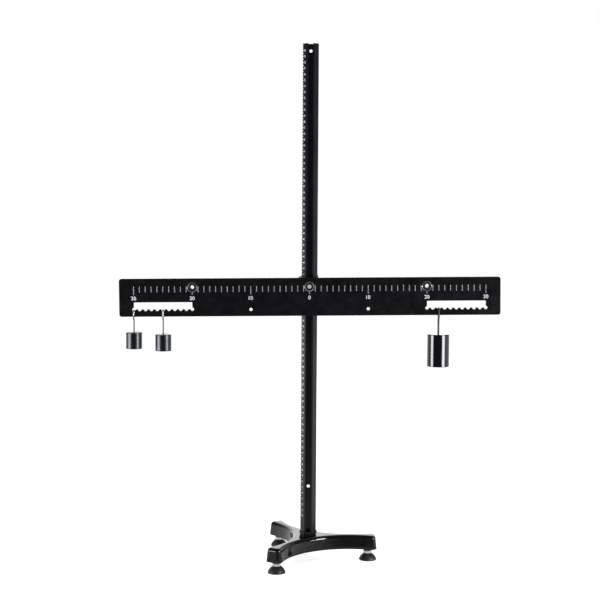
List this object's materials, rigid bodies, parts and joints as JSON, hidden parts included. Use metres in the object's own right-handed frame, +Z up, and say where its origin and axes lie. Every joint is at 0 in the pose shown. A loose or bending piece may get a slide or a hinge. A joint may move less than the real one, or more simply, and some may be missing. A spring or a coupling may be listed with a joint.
{
  "type": "lever apparatus",
  "caption": "Classroom lever apparatus: a graduated beam with scalloped slots rocks on a tall grooved post on a cast tripod, with hooked hanging weights and levelling feet.",
  "frame": {"origin": "on the floor under the axis of the post", "axes": "+Z up along the post, +X along the beam to its right end, front towards -Y"},
  "size_m": [0.6506, 0.216, 0.891],
  "materials": {
    "base_enamel": "gloss black stove enamel",
    "post_anodised": "black anodised, fine drawing lines",
    "collar_black": "gloss black",
    "zinc": "bright zinc",
    "axle_steel": "turned and polished",
    "knob_black": "fine-grained moulded",
    "insert_brass": "turned",
    "beam_black": "satin black with a white scale",
    "ferrule_nickel": "bright nickel",
    "bush_nylon": "moulded",
    "weight_black_chrome": "polished black chrome",
    "hook_wire": "bright drawn wire",
    "pad_rubber": "moulded dark grey"
  },
  "bodies": {
    "stand": {"tripod_base": "base_enamel", "upright_post": "post_anodised", "post_collar": "collar_black", "post_screw_left": "zinc", "post_screw_right": "zinc", "fulcrum_axle": "axle_steel"},
    "knob_carriage": {"axle_washer": "zinc"},
    "knob": {"clamp_knob": "knob_black", "knob_insert": "insert_brass"},
    "beam": {"beam_plate": "beam_black", "ferrule_left": "ferrule_nickel", "ferrule_centre": "ferrule_nickel", "ferrule_right": "ferrule_nickel", "bush_left": "bush_nylon", "bush_centre": "bush_nylon", "bush_right": "bush_nylon"},
    "outer_weight": {"weight_outer": "weight_black_chrome", "hook_outer": "hook_wire"},
    "inner_weight": {"weight_inner": "weight_black_chrome", "hook_inner": "hook_wire"},
    "large_weight": {"weight_large": "weight_black_chrome", "hook_large": "hook_wire"},
    "foot_right": {"foot_pad_right": "pad_rubber"},
    "foot_screw_right": {"foot_stud_right": "zinc", "foot_nut_right": "zinc"},
    "foot_rear": {"foot_pad_rear": "pad_rubber"},
    "foot_screw_rear": {"foot_stud_rear": "zinc", "foot_nut_rear": "zinc"},
    "foot_front": {"foot_pad_front": "pad_rubber"},
    "foot_screw_front": {"foot_stud_front": "zinc", "foot_nut_front": "zinc"}
  },
  "joints": [
    {"name": "beam_rock", "type": "hinge", "parent": "stand", "child": "beam", "pos_m": [0, -0.0273, 0.479], "axis": [0, -1, 0], "range_deg": [-18, 18]},
    {"name": "outer_swing", "type": "hinge", "parent": "beam", "child": "outer_weight", "pos_m": [-0.2995, -0.0273, 0.43614], "axis": [0, 1, 0], "range_deg": [-18, 18]},
    {"name": "inner_swing", "type": "hinge", "parent": "beam", "child": "inner_weight", "pos_m": [-0.2495, -0.0273, 0.43675], "axis": [0, 1, 0], "range_deg": [-18, 18]},
    {"name": "large_swing", "type": "hinge", "parent": "beam", "child": "large_weight", "pos_m": [0.22046, -0.0273, 0.44299], "axis": [0, 1, 0], "range_deg": [-18, 18]},
    {"name": "knob_travel", "type": "slide", "parent": "stand", "child": "knob_carriage", "axis": [0, 1, 0], "range_m": [0, 0.00161]},
    {"name": "knob_turn", "type": "hinge", "parent": "knob_carriage", "child": "knob", "pos_m": [0, 0.022, 0.479], "axis": [0, 1, 0], "range_deg": [0, 720]},
    {"name": "foot_travel_right", "type": "slide", "parent": "stand", "child": "foot_right", "axis": [0, 0, 1], "range_m": [-0.008, 0.0015]},
    {"name": "foot_turn_right", "type": "hinge", "parent": "foot_right", "child": "foot_screw_right", "pos_m": [0.1045, 0, 0.015], "axis": [0, 0, 1], "range_deg": [-2305, 433]},
    {"name": "foot_travel_rear", "type": "slide", "parent": "stand", "child": "foot_rear", "axis": [0, 0, 1], "range_m": [-0.008, 0.0015]},
    {"name": "foot_turn_rear", "type": "hinge", "parent": "foot_rear", "child": "foot_screw_rear", "pos_m": [-0.05225, 0.0905, 0.015], "axis": [0, 0, 1], "range_deg": [-2305, 433]},
    {"name": "foot_travel_front", "type": "slide", "parent": "stand", "child": "foot_front", "axis": [0, 0, 1], "range_m": [-0.008, 0.0015]},
    {"name": "foot_turn_front", "type": "hinge", "parent": "foot_front", "child": "foot_screw_front", "pos_m": [-0.05225, -0.0905, 0.015], "axis": [0, 0, 1], "range_deg": [-2305, 433]}
  ],
  "couplings": [
    {"joint": "knob_travel", "follows": "knob_turn", "m_per_rad": 0.00012732},
    {"joint": "foot_turn_right", "follows": "foot_travel_right", "rad_per_m": 5026.5},
    {"joint": "foot_turn_rear", "follows": "foot_travel_rear", "rad_per_m": 5026.5},
    {"joint": "foot_turn_front", "follows": "foot_travel_front", "rad_per_m": 5026.5}
  ]
}
